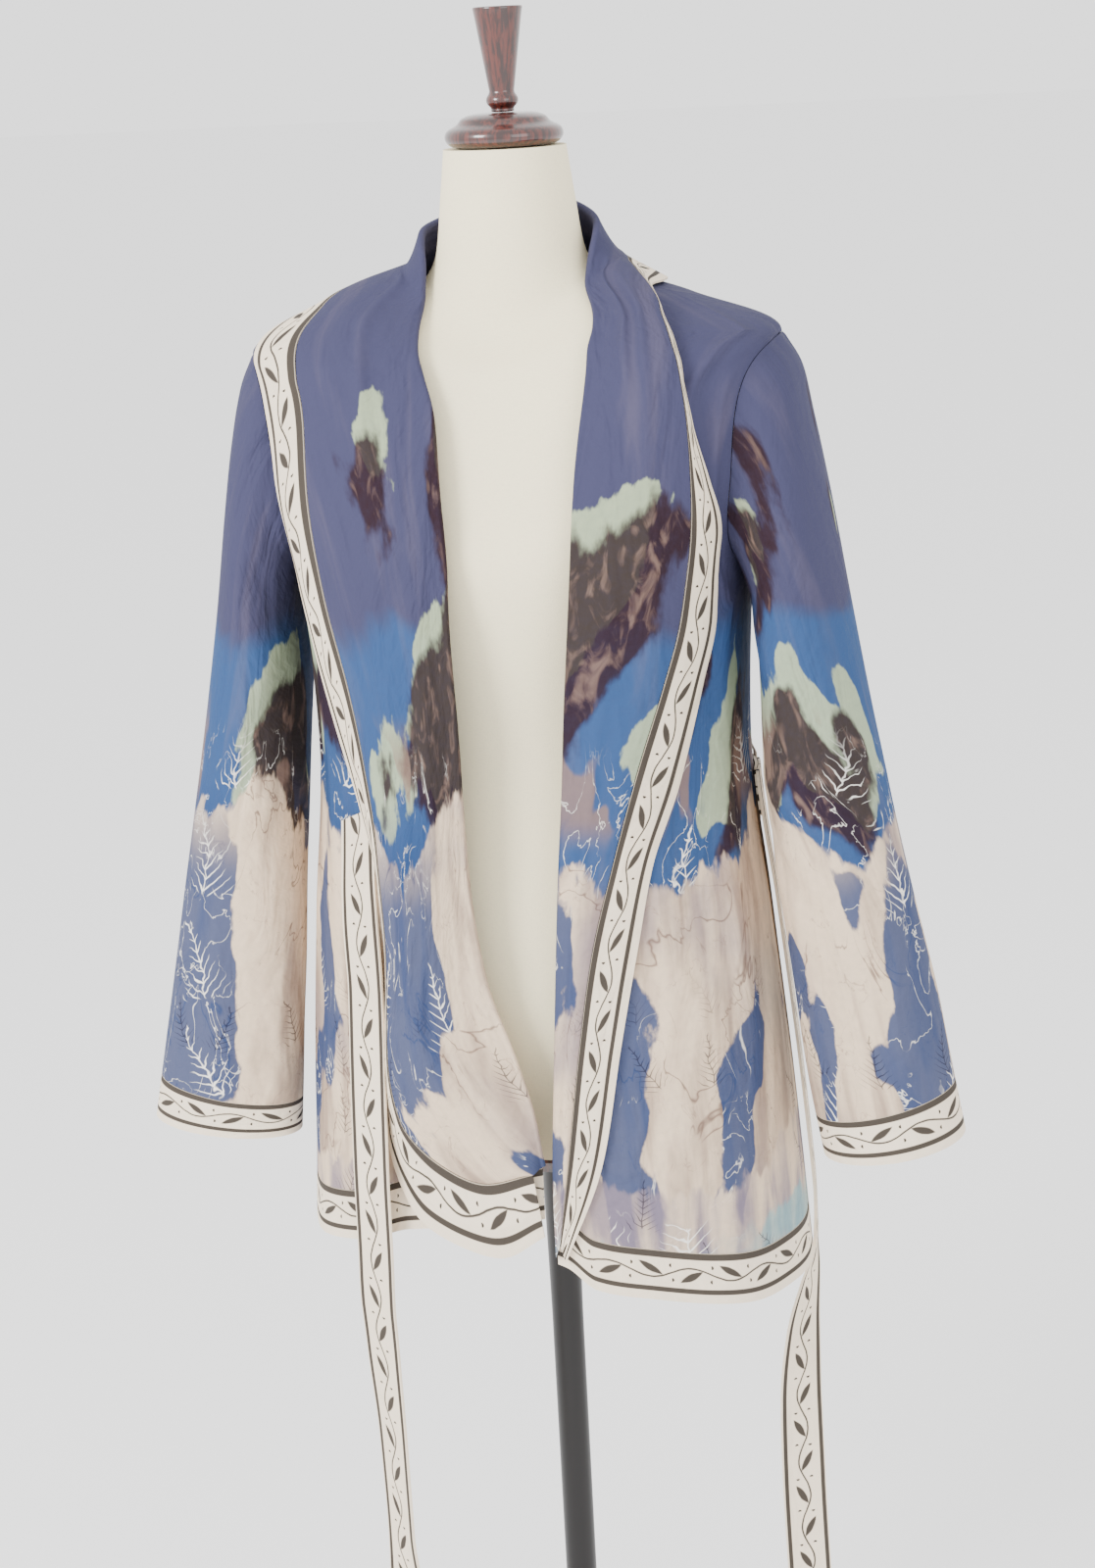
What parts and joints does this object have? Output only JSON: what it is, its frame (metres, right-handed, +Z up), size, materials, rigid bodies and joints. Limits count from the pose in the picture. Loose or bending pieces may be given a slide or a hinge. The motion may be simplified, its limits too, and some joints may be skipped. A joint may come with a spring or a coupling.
{
  "type": "wrap jacket on dress form",
  "caption": "Long-sleeved wrap jacket with a wide shawl collar, contrast borders and a sash, worn open on a limbless dress form with a turned wooden cap and a round base.",
  "frame": {"origin": "centre of the stand base's underside, on the floor", "axes": "+Z up along the pole, -Y towards the open front, +X towards the wearer's left"},
  "size_m": [0.664, 0.32, 1.568],
  "materials": {
    "jacket_cloth": "matte satin-faced viscose, printed",
    "border_cloth": "matte satin-faced viscose, printed cream border",
    "form_linen": "tight cream linen jersey",
    "dark_wood": "glossy mahogany varnish",
    "stand_metal": "satin black enamel"
  },
  "bodies": {
    "root": {"jacket_back": "jacket_cloth", "jacket_front_left": "jacket_cloth", "jacket_front_right": "jacket_cloth", "collar_stand": "jacket_cloth", "collar_left": "jacket_cloth", "collar_right": "jacket_cloth", "sleeve_left": "jacket_cloth", "sleeve_right": "jacket_cloth", "collar_border_left": "border_cloth", "collar_border_right": "border_cloth", "hem_border_left": "border_cloth", "hem_border_back": "border_cloth", "hem_border_right": "border_cloth", "cuff_border_left": "border_cloth", "cuff_border_right": "border_cloth", "belt_back": "border_cloth", "belt_end_left": "border_cloth", "belt_end_right": "border_cloth", "belt_loop": "border_cloth", "form_torso": "form_linen", "form_board": "dark_wood", "neck_cap": "dark_wood", "neck_finial": "dark_wood", "stand_base": "dark_wood", "stand_pole": "stand_metal"}
  },
  "joints": []
}
